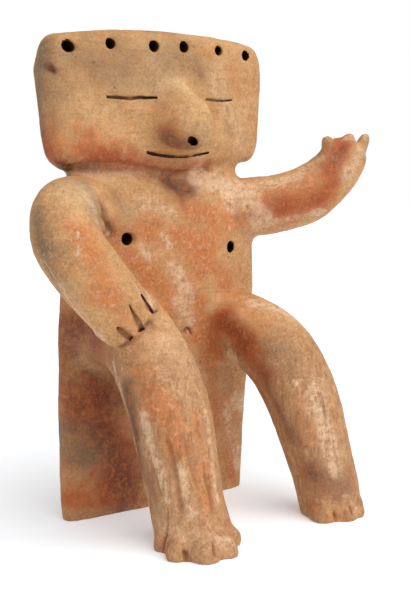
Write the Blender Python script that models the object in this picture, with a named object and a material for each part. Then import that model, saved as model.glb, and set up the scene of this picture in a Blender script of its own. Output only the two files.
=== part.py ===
"""Seated slab figure of fired clay, after the pre-Columbian kind with a flat head and body.

One hand-built piece: an upright plate makes the head, the body and the rear support, and
two thick legs come forward from the hips to the floor. Metres, +Z up. The figure faces -Y
and its own right hand is on the -X side. The origin is under the middle of its box.
"""

import math

import bmesh
import bpy
import numpy as np

# Driving sizes in metres
HEIGHT = 0.280
SLAB_THICKNESS = 0.0125
HEAD_THICKNESS = 0.0205
HEAD_HOLE_DIAMETER = 0.0056
HEAD_HOLE_FLARE = 0.0010
NIPPLE_HOLE_DIAMETER = 0.0068
NIPPLE_HOLE_DEPTH = 0.0090
NAVEL_DIAMETER = 0.0048
NAVEL_DEPTH = 0.0035
EDGE_PIT_DIAMETER = 0.0036
EDGE_PIT_DEPTH = 0.0020
NOSE_HOLE_DIAMETER = 0.0052
NOSE_HOLE_DEPTH = 0.0120
EYE_SLIT_WIDTH = 0.0015
EYE_SLIT_DEPTH = 0.0030
MOUTH_SLIT_WIDTH = 0.0018
MOUTH_SLIT_DEPTH = 0.0045
FINGER_SLIT_WIDTH = 0.0020
FINGER_SLIT_DEPTH = 0.0050

# How finely the clay is modelled: the grain it is welded at, and the share of faces kept
CLAY_GRAIN = 0.0022
FACE_SHARE = 0.0748

# Pose, proportions and carving are given in parts, 280 of them to the height
PART = HEIGHT / 280.0
HEAD_MIDDLE = -5.0
HEAD_REACH = 77.0
HEAD_EDGE = 6.5
BACK_LEVEL = 3.0
NECK_HOLLOW = 7.5
NOSE_SQUARENESS = 1.55
NOSE_FLARE = 0.4
EYE_HEIGHT = 242.0
MOUTH_HEIGHT = 208.8

# Fired clay
CLAY_COLOR = (0.462, 0.246, 0.128, 1.0)
CLAY_ROUGHNESS = 0.78

LIMB_POINTS = 36
CUTTER_POINTS = 12
SPAN_STEPS = 6


def clear_scene():
    """Remove every object that the file opens with."""
    for item in list(bpy.data.objects):
        bpy.data.objects.remove(item, do_unlink=True)


def spline(knots, steps=SPAN_STEPS):
    """Rows of numbers on a smooth curve through the rows of knots."""
    rows = np.array(knots, dtype=float)
    padded = np.vstack([2 * rows[0] - rows[1], rows, 2 * rows[-1] - rows[-2]])
    out = []
    for first in range(len(rows) - 1):
        a, b, c, d = padded[first:first + 4]
        for step in range(steps):
            t = step / steps
            out.append(0.5 * (2 * b + (c - a) * t + (2 * a - 5 * b + 4 * c - d) * t * t
                              + (3 * b - a - 3 * c + d) * t ** 3))
    out.append(rows[-1])
    return np.array(out)


def profile(knots, at):
    """Value at a place on a smooth curve through pairs of place and value."""
    curve = spline(knots)
    return float(np.interp(at, curve[:, 0], curve[:, 1]))


def oval(angle, square):
    """Point of a unit superellipse: 2 is round, more is squarer."""
    u = math.copysign(abs(math.cos(angle)) ** (2 / square), math.cos(angle))
    v = math.copysign(abs(math.sin(angle)) ** (2 / square), math.sin(angle))
    return u, v


def skin(name, rings):
    """Closed mesh object over equal rings of points given in parts, with flat ends."""
    mesh = bpy.data.meshes.new(name)
    bm = bmesh.new()
    loops = [[bm.verts.new(point * PART) for point in ring] for ring in rings]
    count = len(loops[0])
    for low, high in zip(loops, loops[1:]):
        for i in range(count):
            j = (i + 1) % count
            bm.faces.new((low[i], low[j], high[j], high[i]))
    ends = [bm.faces.new(loops[0][::-1]), bm.faces.new(loops[-1])]
    bmesh.ops.triangulate(bm, faces=ends)
    bmesh.ops.recalc_face_normals(bm, faces=bm.faces)
    bm.to_mesh(mesh)
    bm.free()
    item = bpy.data.objects.new(name, mesh)
    bpy.context.collection.objects.link(item)
    return item


def limb(name, knots, across, square=2.0, round_end=True, points=LIMB_POINTS, back=None):
    """Tapering limb: a knot is x, y, z, the half width along across and the half depth.

    across is the direction of the width at the start and at the end. Nothing reaches behind
    the place that back gives."""
    rows = spline(knots)
    tangents = np.gradient(rows[:, :3], axis=0)
    tangents /= np.linalg.norm(tangents, axis=1)[:, None]
    turn = np.linspace(0.0, 1.0, len(rows))[:, None]
    sides = (1 - turn) * np.array(across[0], dtype=float) + turn * np.array(across[1], dtype=float)
    if round_end:
        tip, ahead, side = rows[-1], tangents[-1], sides[-1]
        for angle in np.radians((25.0, 48.0, 66.0, 80.0)):
            shrink = math.cos(angle)
            reach = min(tip[3], tip[4]) * math.sin(angle)
            last = [*(tip[:3] + ahead * reach), tip[3] * shrink, tip[4] * shrink]
            rows = np.vstack([rows, last])
            tangents = np.vstack([tangents, ahead])
            sides = np.vstack([sides, side])
    rings = []
    for row, tangent, side in zip(rows, tangents, sides):
        side = side - tangent * side.dot(tangent)
        side /= np.linalg.norm(side)
        other = np.cross(tangent, side)
        ring = []
        for i in range(points):
            u, v = oval(2 * math.pi * i / points, square)
            point = row[:3] + side * u * row[3] + other * v * row[4]
            if back is not None:
                point[1] = min(point[1], back)
            ring.append(point)
        rings.append(ring)
    return skin(name, rings)


def body():
    """Torso and rear slab, one plate whose front swells into the chest and the belly."""
    half = SLAB_THICKNESS / PART / 2
    # height, left edge, right edge, swell of the front, swell of the back
    knots = (
        (-6.0, -71.5, 57.0, 1.0, 0.5),
        (4.0, -72.5, 57.5, 1.5, 0.5),
        (20.0, -73.5, 58.5, 2.0, 0.5),
        (45.0, -74.0, 60.0, 2.5, 0.5),
        (70.0, -74.0, 62.5, 4.0, 0.8),
        (92.0, -73.5, 64.5, 7.0, 1.2),
        (112.0, -73.0, 66.0, 11.0, 1.8),
        (135.0, -71.5, 66.5, 13.5, 2.5),
        (158.0, -70.0, 66.0, 14.5, 3.0),
        (176.0, -68.5, 63.5, 13.5, 3.0),
        (187.0, -67.5, 58.0, 11.5, 2.6),
        (195.0, -66.0, 54.0, 7.0, 2.2),
        (201.0, -65.2, 52.2, 2.5, 1.6),
        (212.0, -64.0, 52.0, 1.0, 1.0),
    )
    rings = []
    for height, left, right, front, back in spline(knots):
        middle, reach = (left + right) / 2, (right - left) / 2
        hollow = NECK_HOLLOW * math.exp(-((height - 193.0) / 11.0) ** 2)
        ring = []
        for side, swell in ((-1, front), (1, back)):
            for i in range(LIMB_POINTS):
                u = -side * math.sin(math.pi * (i / LIMB_POINTS - 0.5))
                x = middle + reach * u
                edge = math.sqrt(max(0.0, 1 - abs(u) ** (1.6 * reach / half)))
                depth = half * edge + swell * (1 - u * u) ** 1.1
                if side < 0:
                    slope = 13.0 if x < 5.0 else 4.5
                    depth -= hollow * math.exp(-((x - 5.0) / slope) ** 2)
                ring.append(np.array((x, side * depth, height)))
        rings.append(ring)
    return skin("body", rings)


def belly_ridge():
    """Rounded ridge that carries the belly down the slab between the legs."""
    knots = (
        (3.0, 4.0, 128.0, 30.0, 20.0),
        (3.0, 4.0, 105.0, 28.0, 20.0),
        (4.0, 4.0, 80.0, 27.0, 17.5),
        (5.0, 4.0, 55.0, 26.0, 14.0),
        (6.0, 3.0, 35.0, 24.0, 11.0),
        (6.0, 2.0, 18.0, 20.0, 7.5),
    )
    return limb("belly ridge", knots, ((1, 0, 0), (1, 0, 0)), square=2.6, back=BACK_LEVEL)


def head_bow(u):
    """Middle level and half thickness of the bowed head plate at a share of its half width."""
    return -6.5 + 8.0 * u * u, HEAD_THICKNESS / PART / 2 * (1 - 0.14 * u * u)


def face_level(x):
    """Front of the head plate at a place across it, at its middle height."""
    level, half = head_bow((x - HEAD_MIDDLE) / HEAD_REACH)
    return level - half


def head():
    """Broad head plate: arched above, hanging below, bowed in plan, with pillow edges."""
    top_line = ((-1.0, 275.5), (-0.86, 277.0), (-0.7, 278.3), (-0.4, 279.9), (0.0, 280.6), (0.4, 279.7),
                (0.7, 278.2), (0.88, 276.6), (1.0, 275.0))
    low_line = ((-1.0, 202.5), (-0.85, 200.5), (-0.7, 201.5), (-0.5, 203.2), (-0.25, 201.2), (0.05, 198.6),
                (0.25, 200.2), (0.45, 203.2), (0.75, 204.4), (1.0, 205.0))
    left_line = ((190.0, -70.0), (200.0, -74.0), (208.0, -77.5), (218.0, -79.5), (232.0, -83.5),
                 (246.0, -87.0), (258.0, -84.0), (270.0, -81.5), (285.0, -79.0))
    right_line = ((190.0, 60.0), (206.0, 65.5), (215.0, 68.0), (230.0, 70.0), (248.0, 71.5),
                  (264.0, 70.5), (273.0, 69.0), (285.0, 68.0))
    edge_share = HEAD_EDGE / HEAD_REACH
    near_edge = [0.9995, *(1 - np.linspace(0.0, 1.0, 8)[1:] ** 2 * edge_share)]
    between = list(np.linspace(-1 + edge_share, 1 - edge_share, 24)[1:-1])
    rings = []
    for u in [-u for u in near_edge] + between + near_edge[::-1]:
        inset = min((1 - abs(u)) / edge_share, 1.0)
        swell = math.sqrt(1 - (1 - inset) ** 2)
        top = profile(top_line, u) - HEAD_EDGE * (1 - swell)
        low = profile(low_line, u) + HEAD_EDGE * (1 - swell)
        level, half = head_bow(u)
        depth = half * (0.2 + 0.8 * swell)
        ring = []
        for i in range(LIMB_POINTS):
            v, w = oval(2 * math.pi * (i + 0.5) / LIMB_POINTS, 2.0)
            v = math.copysign(abs(v) ** (2 / 2.6), v)
            w = math.copysign(abs(w) ** (2 / 8.0), w)
            z = (top + low) / 2 + (top - low) / 2 * w
            edge = profile(left_line, z) if u < 0 else profile(right_line, z)
            x = HEAD_MIDDLE + abs(u) * (edge - HEAD_MIDDLE)
            ring.append(np.array((x, level + depth * v, z)))
        rings.append(ring)
    return skin("head", rings)


def nose():
    """Broad nose with straight flanks that spread at the foot, rising from between the eyes."""
    # height, half width, reach in front of the middle line
    knots = (
        (256.0, 7.0, 2.0),
        (250.5, 11.0, 7.0),
        (245.0, 15.0, 13.5),
        (239.5, 18.0, 22.5),
        (233.5, 20.0, 29.5),
        (228.0, 20.8, 32.2),
        (222.5, 20.4, 31.2),
        (217.5, 18.6, 27.6),
        (213.5, 15.0, 21.5),
        (210.5, 10.0, 11.0),
    )
    rings = []
    for height, wide, reach in spline(knots):
        ring = []
        for i in range(LIMB_POINTS):
            u, v = oval(2 * math.pi * i / LIMB_POINTS, NOSE_SQUARENESS)
            flare = 1 + NOSE_FLARE * min(max(0.0, 1 + v / 0.45), 1.0) ** 2
            depth = min(-14.0 + reach * v, -6.0)
            ring.append(np.array((-3.0 + wide * u * flare, depth, height)))
        rings.append(ring)
    return skin("nose", rings)


def right_leg():
    """Right thigh and shin in one column, leaning forward to the foot."""
    knots = (
        (-41.0, 3.0, 110.0, 29.0, 26.0),
        (-41.0, -18.0, 111.0, 25.5, 22.5),
        (-41.5, -37.0, 104.0, 22.8, 20.0),
        (-40.5, -50.0, 90.0, 22.8, 20.0),
        (-39.0, -59.5, 71.0, 23.0, 20.5),
        (-38.5, -67.0, 47.0, 21.8, 19.5),
        (-38.0, -74.0, 23.0, 20.5, 19.0),
        (-37.5, -80.5, 4.0, 21.0, 20.0),
        (-37.5, -83.0, -8.0, 21.0, 20.0),
    )
    return limb("right leg", knots, ((1, 0, 0), (1, 0, 0)), square=2.25, round_end=False, back=BACK_LEVEL)


def left_leg():
    """Left thigh and shin, splayed outward."""
    knots = (
        (42.0, 3.0, 104.0, 27.0, 25.0),
        (43.0, -18.0, 104.6, 23.6, 21.8),
        (46.2, -40.0, 98.5, 23.0, 20.8),
        (49.6, -54.0, 86.5, 22.6, 20.2),
        (53.7, -64.0, 68.0, 22.0, 19.7),
        (57.0, -71.0, 46.0, 20.5, 19.0),
        (60.3, -77.0, 23.0, 18.4, 17.8),
        (62.0, -81.5, 4.0, 17.8, 17.8),
        (62.5, -83.5, -8.0, 17.8, 17.8),
    )
    return limb("left leg", knots, ((1, 0, 0), (1, 0, 0)), square=2.2, round_end=False, back=BACK_LEVEL)


def toes(name, foot, tips):
    """Rounded toes: a tip is x, y, the half width and the half height."""
    items = []
    for i, (x, y, wide, high) in enumerate(tips):
        tip = np.array((x, y))
        ahead = tip - np.array(foot)
        ahead /= np.linalg.norm(ahead)
        start, middle = tip - ahead * 20.0, tip - ahead * 9.0
        tip = tip - ahead * wide * 0.4
        knots = (
            (*start, high * 0.8, wide, high * 1.6),
            (*middle, high * 0.55, wide, high * 1.3),
            (*tip, high * 0.35, wide * 0.95, high * 1.15),
        )
        aside = (-ahead[1], ahead[0], 0.0)
        items.append(limb(f"{name} {i}", knots, (aside, aside)))
    return items


def right_arm():
    """Right arm, bent out at the elbow and down to the hand on the knee."""
    knots = (
        (-42.0, -2.0, 175.0, 17.0, 15.0),
        (-62.0, -8.0, 179.0, 19.0, 17.5),
        (-76.5, -15.5, 176.0, 20.5, 19.0),
        (-82.5, -28.0, 162.0, 20.8, 19.0),
        (-78.0, -39.5, 147.5, 20.0, 18.0),
        (-70.5, -47.5, 135.0, 19.3, 15.5),
        (-63.0, -51.5, 125.5, 18.0, 11.5),
        (-58.5, -53.0, 121.0, 16.5, 8.5),
    )
    return limb("right arm", knots, ((0, 0, 1), (-0.8, 0, -0.6)))


def left_arm():
    """Left arm, held out and bent up to an open palm."""
    knots = (
        (46.0, 0.0, 176.0, 18.6, 17.0),
        (62.0, -5.0, 177.2, 18.3, 17.5),
        (78.0, -13.0, 179.4, 18.3, 17.5),
        (93.0, -22.0, 185.0, 17.9, 16.5),
        (105.0, -29.0, 195.0, 16.3, 14.5),
        (112.5, -33.0, 205.0, 15.3, 11.0),
        (115.5, -35.0, 211.0, 14.0, 8.0),
    )
    return limb("left arm", knots, ((0.1, 0, -1), (0.85, -0.5, -0.3)))


def fingers(name, runs, across):
    """Tapering fingers: a run is the knuckle, the tip, the half width and the half depth."""
    items = []
    for i, (start, end, wide, deep) in enumerate(runs):
        start, end = np.array(start, dtype=float), np.array(end, dtype=float)
        knots = (
            (*start, wide, deep),
            (*((start + end) / 2), wide, deep),
            (*end, wide * 0.85, deep * 0.85),
        )
        items.append(limb(f"{name} {i}", knots, (across, across)))
    return items


def drill(name, place, toward, diameter, depth, flare=0.0):
    """Round cutter that starts outside the clay at a place and runs toward a direction."""
    toward = np.array(toward, dtype=float)
    toward /= np.linalg.norm(toward)
    place = np.array(place, dtype=float)
    radius, outside = diameter / PART / 2, 6.0
    wide = radius + flare / PART
    lengths = ((-outside, wide), (0.0, wide), (2.0, radius), (depth / PART, radius * 0.9))
    aside = np.cross(toward, (0.0, 0.0, 1.0)) if abs(toward[2]) < 0.9 else np.array((1.0, 0.0, 0.0))
    aside /= np.linalg.norm(aside)
    above = np.cross(toward, aside)
    rings = []
    for length, r in lengths:
        ring = []
        for i in range(CUTTER_POINTS):
            angle = 2 * math.pi * i / CUTTER_POINTS
            ring.append(place + toward * length + (aside * math.cos(angle) + above * math.sin(angle)) * r)
        rings.append(ring)
    return skin(name, rings)


def slit(name, points, width, depth, across):
    """Cutter for a line pressed into the clay, thin at both ends."""
    half, deep = width / PART / 2, depth / PART
    points = np.array(points, dtype=float)
    taper = [0.35] + [1.0] * (len(points) - 2) + [0.35]
    knots = [(*p, half * t, deep * (0.4 + 0.6 * t)) for p, t in zip(points, taper)]
    return limb(name, knots, (across, across), round_end=False, points=CUTTER_POINTS)


def head_cutters():
    """Holes along the top of the head, the pit in its edge, the eyes, the mouth and the nose hole."""
    items = []
    through = 2 * HEAD_THICKNESS
    places = ((-69.6, 268.6), (-44.8, 271.2), (-17.2, 271.0), (3.8, 271.6), (31.1, 271.0), (54.3, 269.4))
    for i, (x, z) in enumerate(places):
        place = (x, face_level(x) + 0.8, z)
        items.append(drill(f"hole {i}", place, (0, 1, 0), HEAD_HOLE_DIAMETER, through, HEAD_HOLE_FLARE))
    items.append(drill("edge pit", (-79.9, -6.4, 256.7), (0.7, 0.7, 0), EDGE_PIT_DIAMETER, EDGE_PIT_DEPTH))
    items.append(drill("nose hole", (-12.0, -42.0, 217.5), (0.8, 0.6, 0), NOSE_HOLE_DIAMETER, NOSE_HOLE_DEPTH))
    upright = (0, 0, 1)
    for name, first, last in (("right eye", -48.5, -14.5), ("left eye", 11.0, 43.5)):
        points = [(x, face_level(x), EYE_HEIGHT) for x in np.linspace(first, last, 5)]
        items.append(slit(name, points, EYE_SLIT_WIDTH, EYE_SLIT_DEPTH, upright))
    points = [(x, face_level(x) + 0.8, MOUTH_HEIGHT + 2.4 * ((x + 0.6) / 22.5) ** 2)
              for x in np.linspace(-23.2, 22.2, 7)]
    items.append(slit("mouth", points, MOUTH_SLIT_WIDTH, MOUTH_SLIT_DEPTH, upright))
    return items


def hand_cutters():
    """Lines pressed between the fingers of the hand on the knee."""
    # start, end, outward direction, width as a share of the driving width
    runs = (
        ((-57.2, -59.7, 136.0), (-49.0, -60.0, 123.9), (0.45, -0.84, 0.27), 0.8),
        ((-66.6, -62.6, 131.4), (-56.6, -60.4, 116.4), (0.15, -0.98, -0.1), 1.1),
        ((-72.9, -60.2, 119.8), (-62.6, -59.4, 112.2), (-0.25, -0.9, -0.35), 1.3),
    )
    items = []
    for i, (start, end, outward, share) in enumerate(runs):
        points = np.linspace(start, end, 4)
        aside = np.cross(points[-1] - points[0], outward)
        items.append(slit(f"finger line {i}", points, FINGER_SLIT_WIDTH * share, FINGER_SLIT_DEPTH, aside))
    return items


def body_cutters():
    """Pressed nipples and the navel."""
    nipples = ((-36.8, -16.6, 162.2), (38.8, -15.1, 154.1))
    items = [drill(f"nipple {i}", place, (0, 1, 0), NIPPLE_HOLE_DIAMETER, NIPPLE_HOLE_DEPTH)
             for i, place in enumerate(nipples)]
    items.append(drill("navel", (3.5, -16.4, 105.2), (0, 1, 0), NAVEL_DIAMETER, NAVEL_DEPTH))
    return items


def join(items, name):
    """One mesh object out of several, all in place."""
    bm = bmesh.new()
    for item in items:
        bm.from_mesh(item.data)
        bpy.data.objects.remove(item, do_unlink=True)
    mesh = bpy.data.meshes.new(name)
    bm.to_mesh(mesh)
    bm.free()
    whole = bpy.data.objects.new(name, mesh)
    bpy.context.collection.objects.link(whole)
    return whole


def guide(item):
    """Keep a cutter out of the model."""
    item.hide_render = True
    item.display_type = "WIRE"
    return item


def fuse(item):
    """Weld the overlapping forms into one skin and soften the joins as wet clay is smoothed."""
    remesh = item.modifiers.new("weld clay", "REMESH")
    remesh.mode = "VOXEL"
    remesh.voxel_size = CLAY_GRAIN
    smooth = item.modifiers.new("smooth joins", "SMOOTH")
    smooth.factor = 0.5
    smooth.iterations = 4
    fewer = item.modifiers.new("fewer faces", "DECIMATE")
    fewer.ratio = FACE_SHARE
    return item


def cut(item, cutter, name):
    """Take a cutter's form out of the clay."""
    boolean = item.modifiers.new(name, "BOOLEAN")
    boolean.operation = "DIFFERENCE"
    boolean.solver = "EXACT"
    boolean.object = guide(cutter)


def floor_block():
    """Block under the floor that trims the slab and the feet flat."""
    low, high, reach = -40.0, 0.0, 200.0
    corners = ((-reach, -reach), (reach, -reach), (reach, reach), (-reach, reach))
    rings = [[np.array((x, y, z)) for x, y in corners] for z in (low, high)]
    return skin("floor block", rings)


def stand_over_origin(figure):
    """Move the figure and its cutters so that the origin is under the middle of its box."""
    graph = bpy.context.evaluated_depsgraph_get()
    corners = np.array(figure.evaluated_get(graph).bound_box)
    middle = (corners.min(axis=0) + corners.max(axis=0)) / 2
    for item in bpy.data.objects:
        item.location = (-middle[0], -middle[1], 0.0)


def clay():
    """Low-fired terracotta."""
    material = bpy.data.materials.new("terracotta")
    material.use_nodes = True
    shader = material.node_tree.nodes["Principled BSDF"]
    shader.inputs["Base Color"].default_value = CLAY_COLOR
    shader.inputs["Roughness"].default_value = CLAY_ROUGHNESS
    shader.inputs["Metallic"].default_value = 0.0
    return material


def main():
    clear_scene()
    parts = [body(), belly_ridge(), head(), nose(), right_leg(), left_leg(), right_arm(), left_arm()]
    parts += toes("right toe", (-37.0, -68.0), (
        (-58.5, -77.5, 5.0, 6.5), (-60.0, -95.5, 7.0, 7.5), (-48.5, -107.5, 8.5, 8.0),
        (-33.5, -107.8, 6.8, 7.0), (-19.0, -94.5, 4.6, 6.5)))
    parts += toes("left toe", (61.0, -66.0), (
        (46.5, -93.0, 8.0, 7.0), (60.0, -99.5, 6.2, 6.0), (70.5, -98.0, 4.6, 5.5), (77.8, -89.5, 4.6, 6.5)))
    parts += fingers("right finger", (
        ((-58.0, -46.0, 139.0), (-43.5, -52.0, 127.5), 5.0, 5.5),
        ((-65.0, -52.0, 134.0), (-51.5, -57.5, 122.5), 5.2, 5.5),
        ((-71.0, -52.0, 126.0), (-60.0, -57.5, 115.5), 5.2, 5.5),
        ((-76.0, -46.0, 119.0), (-66.0, -51.5, 110.0), 5.0, 5.0)), (-0.8, 0, -0.6))
    parts += fingers("left finger", (
        ((104.0, -31.0, 208.0), (99.5, -34.0, 218.5), 5.0, 4.5),
        ((115.0, -33.0, 210.0), (117.5, -35.0, 220.5), 4.4, 4.2),
        ((111.0, -37.0, 209.0), (113.0, -40.0, 215.5), 4.4, 4.0),
        ((125.0, -34.0, 209.0), (130.0, -36.0, 220.0), 4.4, 4.2)), (0.85, -0.5, 0))
    figure = fuse(join(parts, "seated_figure"))
    cut(figure, floor_block(), "flat base")
    cut(figure, join(head_cutters() + hand_cutters() + body_cutters(), "cutters"), "holes and slits")
    figure.data.materials.append(clay())
    stand_over_origin(figure)


main()
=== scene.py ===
"""Looks of the seated slab figure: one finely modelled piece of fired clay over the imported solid.

Metres, +Z up. The figure faces -Y and its own right hand is on the -X side. Places on it are
given in parts, 280 of them to its height, counted across, forward and up from the foot of
the middle of its body plate.
"""

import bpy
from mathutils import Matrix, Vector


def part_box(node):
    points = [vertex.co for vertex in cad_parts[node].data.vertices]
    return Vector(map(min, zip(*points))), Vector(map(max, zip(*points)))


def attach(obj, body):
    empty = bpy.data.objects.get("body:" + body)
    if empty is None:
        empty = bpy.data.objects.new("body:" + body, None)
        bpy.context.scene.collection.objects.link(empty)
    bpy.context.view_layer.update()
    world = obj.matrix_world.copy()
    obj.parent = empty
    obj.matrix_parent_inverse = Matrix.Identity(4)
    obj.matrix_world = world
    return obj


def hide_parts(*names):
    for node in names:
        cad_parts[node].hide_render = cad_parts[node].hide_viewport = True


bl_info = {
    "name": "Seated slab figure",
    "version": (1, 0, 0),
    "blender": (4, 5, 0),
    "location": "View3D > Sidebar > Statuette",
    "description": "Hand-built seated figure of low-fired clay on a pale studio floor",
    "category": "Object",
}

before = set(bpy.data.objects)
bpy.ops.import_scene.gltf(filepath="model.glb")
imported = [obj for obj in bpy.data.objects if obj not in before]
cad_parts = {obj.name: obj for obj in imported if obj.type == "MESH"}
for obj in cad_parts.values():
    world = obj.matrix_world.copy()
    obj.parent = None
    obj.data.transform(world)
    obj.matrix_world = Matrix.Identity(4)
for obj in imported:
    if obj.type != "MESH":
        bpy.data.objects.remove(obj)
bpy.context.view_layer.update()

import math

import bmesh
import bpy
import numpy as np
from bpy.props import FloatProperty, FloatVectorProperty, IntProperty, PointerProperty
from mathutils import Vector
from mathutils.bvhtree import BVHTree

SOLID = "seated_figure"
LOW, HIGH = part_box(SOLID)

# The solid in parts: how tall it is, and how far it reaches to its right and behind the plate's middle
SOLID_TALL, SOLID_RIGHT, SOLID_BEHIND = 280.4, 102.6, 15.5
PART = (HIGH.z - LOW.z) / SOLID_TALL
ORIGIN = np.array((LOW.x + SOLID_RIGHT * PART, HIGH.y - SOLID_BEHIND * PART, LOW.z))
MM = 0.001

# The photograph's camera: place in parts, turn and fall in degrees, lens and sensor in millimetres
CAMERA_PLACE = (-411.4, -586.3, 211.9)
CAMERA_TURN = -37.0
CAMERA_FALL = 6.96
CAMERA_LENS = 72.6
CAMERA_SENSOR = 36.0
PHOTO_WIDTH = 410
PHOTO_HEIGHT = 595
# A pixel that misses is moved up to this share of the way to the photograph's middle, in steps
SEARCH_SHARE, SEARCH_STEPS = 0.1, 41

TRIANGLES = 190000
# Points nearer than this, in metres, are one
SAME_POINT = 1e-6
# Rounds of smoothing: each pulls in and pushes out a little more, so that nothing shrinks
RELAX_ROUNDS = 24
PULL_IN, PUSH_OUT = 0.52, -0.53
# Metres over the floor that count as standing on it, and over which detail fades in
STANDING, DETAIL_RISE = 0.0002, 0.004


def linear(code):
    """Linear colour of an sRGB hex code."""
    values = [int(code[i:i + 2], 16) / 255 for i in (1, 3, 5)]
    return tuple(v / 12.92 if v <= 0.04045 else ((v + 0.055) / 1.055) ** 2.4 for v in values)


def place(spot):
    """Point of the row frame from a spot given in parts."""
    return ORIGIN + np.array(spot, dtype=float) * PART


def smooth_noise(points, size, seed):
    """Noise from -1 to 1 at each point, with lumps about one size wide."""
    cell = points / size + seed * 17.31
    base = np.floor(cell).astype(np.int64)
    share = cell - base
    share = share * share * (3 - 2 * share)
    total = np.zeros(len(points))
    for corner in range(8):
        step = np.array((corner & 1, corner >> 1 & 1, corner >> 2 & 1))
        key = (base + step) * np.array((73856093, 19349663, 83492791))
        mixed = (key[:, 0] ^ key[:, 1] ^ key[:, 2]) & 0xFFFFFFFF
        mixed = ((mixed ^ mixed >> 13) * 1274126177) & 0xFFFFFFFF
        value = ((mixed ^ mixed >> 16) & 0xFFFF) / 32767.5 - 1
        total += value * np.prod(np.where(step == 1, share, 1 - share), axis=1)
    return total


def to_line(points, first, last):
    """Distance from each point to a straight line between two places, and how far along it lies."""
    first, last = np.array(first), np.array(last)
    run = last - first
    length = max(run.dot(run), 1e-12)
    along = np.clip((points - first) @ run / length, 0.0, 1.0)
    return np.linalg.norm(points - (first + along[:, None] * run), axis=1), along


def photo_ray(across, down):
    """Start and direction of the line of sight through a pixel of the photograph."""
    turn, fall = math.radians(CAMERA_TURN), math.radians(CAMERA_FALL)
    right = np.array((math.cos(turn), math.sin(turn), 0.0))
    ahead = np.array((-math.sin(turn) * math.cos(fall), math.cos(turn) * math.cos(fall), -math.sin(fall)))
    above = np.cross(right, ahead)
    focal = CAMERA_LENS / CAMERA_SENSOR * PHOTO_HEIGHT
    way = ahead + right * (across - PHOTO_WIDTH / 2) / focal - above * (down - PHOTO_HEIGHT / 2) / focal
    return Vector(place(CAMERA_PLACE)), Vector(way).normalized()


def on_clay(tree, across, down):
    """Place on the clay that a pixel of the photograph shows, or a pixel a little nearer to the middle."""
    for inward in np.linspace(0.0, SEARCH_SHARE, SEARCH_STEPS):
        spot = (across + (PHOTO_WIDTH / 2 - across) * inward, down + (PHOTO_HEIGHT / 2 - down) * inward)
        hit = tree.ray_cast(*photo_ray(*spot))
        if hit[0] is not None:
            return np.array(hit[0])
    raise RuntimeError(f"the pixel {across}, {down} misses the figure")


# Mesh work

def new_object(name, data):
    """Object in the scene for a mesh, a light or a camera."""
    item = bpy.data.objects.new(name, data)
    bpy.context.scene.collection.objects.link(item)
    return item


def vectors_of(items, name):
    """Array of a vector that each of the items holds."""
    flat = np.empty(len(items) * 3, dtype=np.float32)
    items.foreach_get(name, flat)
    return flat.reshape(-1, 3).astype(float)


def points_of(mesh):
    """Array of the mesh's vertex places."""
    return vectors_of(mesh.vertices, "co")


def normals_of(mesh):
    """Array of the mesh's vertex normals."""
    return vectors_of(mesh.vertex_normals, "vector")


def set_points(mesh, points):
    """Move the mesh's vertices."""
    mesh.vertices.foreach_set("co", points.astype(np.float32).ravel())
    mesh.update()


def apply_modifiers(item):
    """Replace an object's mesh by what its modifiers make of it."""
    graph = bpy.context.evaluated_depsgraph_get()
    mesh = bpy.data.meshes.new_from_object(item.evaluated_get(graph))
    item.modifiers.clear()
    old = item.data
    item.data = mesh
    bpy.data.meshes.remove(old)


def relax(mesh, rounds):
    """Smooth away facets without shrinking the form, and keep the standing edges on the floor."""
    points = points_of(mesh)
    edges = np.empty(len(mesh.edges) * 2, dtype=np.int32)
    mesh.edges.foreach_get("vertices", edges)
    start, end = edges.reshape(-1, 2).T
    count = len(points)
    degree = np.maximum(np.bincount(edges, minlength=count), 1)[:, None]
    floor = points[:, 2] < LOW.z + STANDING
    for turn in range(2 * rounds):
        near = np.stack([np.bincount(start, points[end, k], count) + np.bincount(end, points[start, k], count)
                         for k in range(3)], axis=1)
        push = PULL_IN if turn % 2 == 0 else PUSH_OUT
        points += push * (near / degree - points)
        points[floor, 2] = LOW.z
    set_points(mesh, points)


def weld_clay(item, grain):
    """Give the clay an even skin of small faces."""
    remesh = item.modifiers.new("even skin", "REMESH")
    remesh.mode = "VOXEL"
    remesh.voxel_size = grain
    apply_modifiers(item)


def tree_of(mesh):
    """Search tree over the faces of a mesh."""
    return BVHTree.FromPolygons(points_of(mesh).tolist(), [tuple(face.vertices) for face in mesh.polygons])


def fine_copy(grain):
    """Finely divided copy of the solid, its facets smoothed away and its thin lines filled for redrawing."""
    item = new_object("clay figure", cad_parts[SOLID].data.copy())
    bm = bmesh.new()
    bm.from_mesh(item.data)
    bmesh.ops.remove_doubles(bm, verts=bm.verts, dist=SAME_POINT)
    bm.to_mesh(item.data)
    tree = tree_of(item.data)
    redrawn = (*PRESSED_LINES.values(), EDGE_PIT)
    fillings = [fill(*sides_of(tree, line["pixels"], line["reach"])) for line in redrawn]
    radius = NAVEL_RADIUS * MM
    across, up = np.array((1, 0, 0)), np.array((0, 0, 1))
    plug = [ring_round(place(NAVEL) + (0, inward, 0), across, up, radius, radius, 0, 0)
            for inward in (0, NAVEL_FILL)]
    fillings.append(skin("filling", plug))
    for filling in fillings:
        bm.from_mesh(filling.data)
        bpy.data.objects.remove(filling, do_unlink=True)
    bm.to_mesh(item.data)
    bm.free()
    weld_clay(item, grain)
    relax(item.data, RELAX_ROUNDS)
    return item


# Modelled detail: places are pixels of the photograph, sizes are real ones in millimetres

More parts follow.
